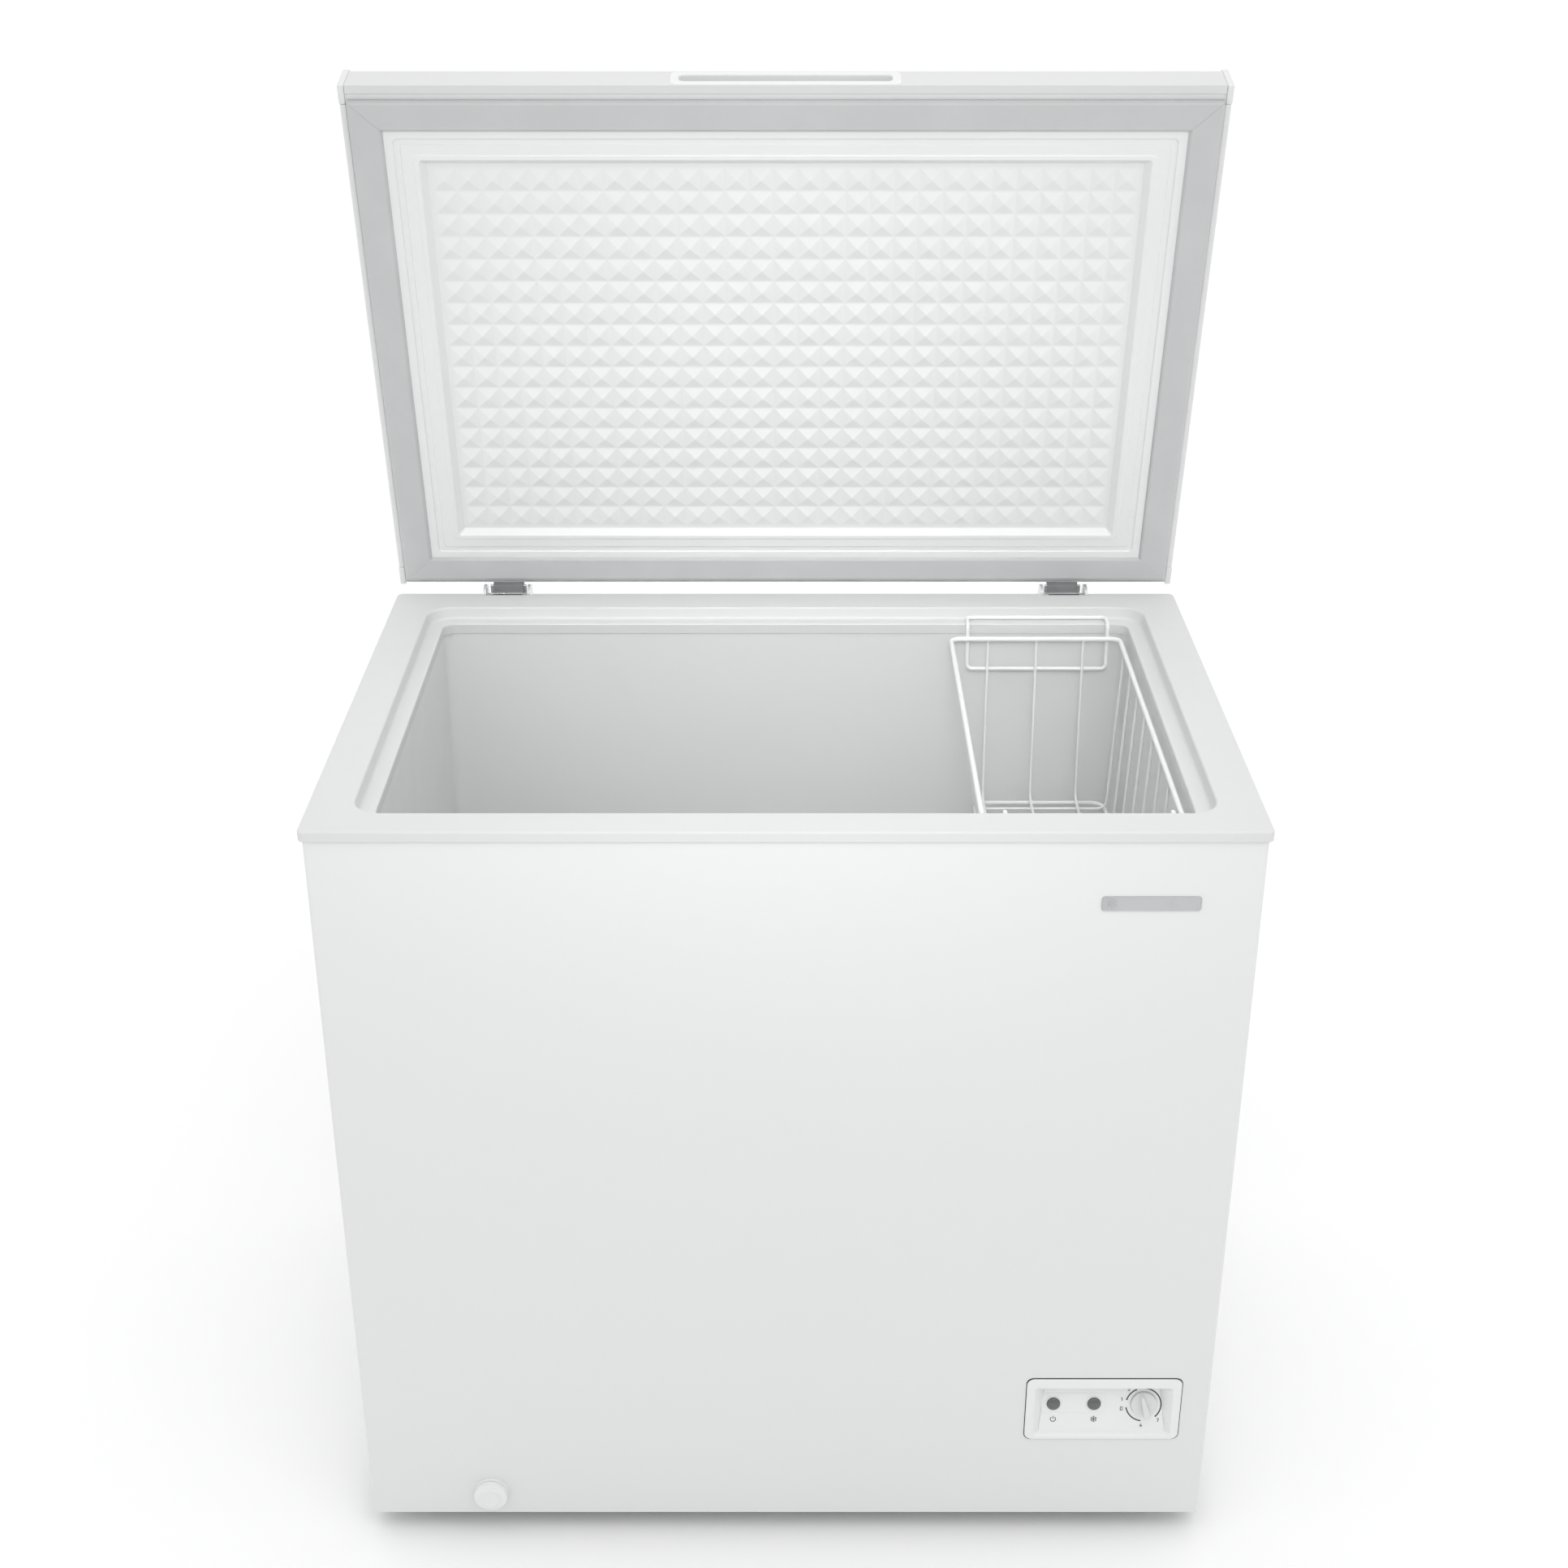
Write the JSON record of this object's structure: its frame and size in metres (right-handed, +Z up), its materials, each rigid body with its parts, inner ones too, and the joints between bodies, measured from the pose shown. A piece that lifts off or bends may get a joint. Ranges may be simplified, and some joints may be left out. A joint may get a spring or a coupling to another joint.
{
  "type": "chest freezer",
  "caption": "White chest freezer with a hinged insulated lid, sliding wire basket, recessed control panel and front drain cap.",
  "frame": {"origin": "on the floor, under the centre of the freezer's box with its lid open at rest", "axes": "+Z up, front towards -Y, +X to the right as seen from the front"},
  "size_m": [0.8166, 0.6148, 1.3152],
  "materials": {
    "white_enamel_steel": "gloss",
    "lid_enamel_steel": "gloss",
    "galvanised_steel": "satin",
    "white_rim_plastic": "satin",
    "white_trim_plastic": "satin",
    "liner_aluminium": "satin",
    "white_lid_liner": "satin",
    "grey_gasket": "matte",
    "foam": "matte",
    "copper_pipe": "satin",
    "steel_pipe": "satin",
    "black_steel": "satin",
    "motor_iron": "matte",
    "black_rubber": "matte",
    "black_plastic": "matte",
    "zinc_screw": "satin",
    "white_panel_plastic": "satin",
    "knob_plastic": "satin",
    "smoked_lens": "gloss",
    "white_coated_wire": "gloss",
    "grey_hinge_steel": "satin",
    "light_hinge_steel": "satin",
    "nameplate_plastic": "satin",
    "grey_handle_plastic": "satin"
  },
  "bodies": {
    "cabinet": {"outer_wrapper": "white_enamel_steel", "rear_panel": "galvanised_steel", "bottom_panel": "galvanised_steel", "compressor_base_plate": "galvanised_steel", "feet": "black_plastic", "rim_collar": "white_rim_plastic", "inner_liner": "liner_aluminium", "liner_seam_strip": "liner_aluminium", "evaporator_coil": "copper_pipe", "condenser_coil": "steel_pipe", "filter_drier": "copper_pipe", "capillary_tube": "copper_pipe", "compressor_shell": "black_steel", "compressor_motor": "motor_iron", "compressor_grommets": "black_rubber", "compressor_bolts": "zinc_screw", "suction_line": "copper_pipe", "discharge_line": "steel_pipe", "relay_cover": "black_plastic", "bay_wall": "galvanised_steel", "drain_tube": "white_panel_plastic", "drain_seat": "white_panel_plastic", "drain_sleeve": "white_panel_plastic", "foam_insulation": "foam", "compressor_cover": "galvanised_steel", "cord_gland": "black_plastic", "cover_screws": "zinc_screw", "control_bezel": "white_panel_plastic", "power_lamp_lens": "smoked_lens", "running_lamp_lens": "smoked_lens", "lamp_holders": "black_plastic", "thermostat_body": "black_plastic", "nameplate": "nameplate_plastic", "left_hinge_bracket": "light_hinge_steel", "right_hinge_bracket": "light_hinge_steel", "left_hinge_pin": "zinc_screw", "right_hinge_pin": "zinc_screw", "hinge_springs": "zinc_screw", "hinge_bracket_screws": "zinc_screw"},
    "lid": {"lid_outer_panel": "lid_enamel_steel", "lid_foam": "foam", "lid_inner_liner": "white_lid_liner", "lid_gasket": "grey_gasket", "handle_insert": "grey_handle_plastic", "lid_left_trim": "white_trim_plastic", "lid_right_trim": "white_trim_plastic", "lid_corner_caps": "white_trim_plastic", "left_hinge_arm": "grey_hinge_steel", "right_hinge_arm": "grey_hinge_steel", "hinge_arm_screws": "zinc_screw"},
    "basket": {"basket_top_frame": "white_coated_wire", "basket_floor_frame": "white_coated_wire", "basket_cross_wires": "white_coated_wire", "basket_lengthwise_wires": "white_coated_wire", "basket_hangers": "white_coated_wire"},
    "thermostat": {"thermostat_knob": "knob_plastic", "thermostat_shaft": "zinc_screw"},
    "drain_cap": {"drain_cap": "white_panel_plastic"},
    "drain_plug": {"liner_drain_plug": "black_rubber"}
  },
  "joints": [
    {"name": "lid_hinge", "type": "hinge", "parent": "cabinet", "child": "lid", "pos_m": [0, 0.25057, 0.7667], "axis": [-1, 0, 0], "range_deg": [-77.4, 0]},
    {"name": "basket_slide", "type": "slide", "parent": "cabinet", "child": "basket", "axis": [1, 0, 0], "range_m": [-0.514, 0]},
    {"name": "thermostat_turn", "type": "hinge", "parent": "cabinet", "child": "thermostat", "pos_m": [0.3435, -0.29158, 0.153], "axis": [0, 0.9659, -0.2588], "range_deg": [-160, 140]},
    {"name": "drain_cap_pull", "type": "slide", "parent": "cabinet", "child": "drain_cap", "axis": [0, -1, 0], "range_m": [0, 0.03]},
    {"name": "drain_plug_lift", "type": "slide", "parent": "cabinet", "child": "drain_plug", "axis": [0, 0, 1], "range_m": [0, 0.04]}
  ]
}
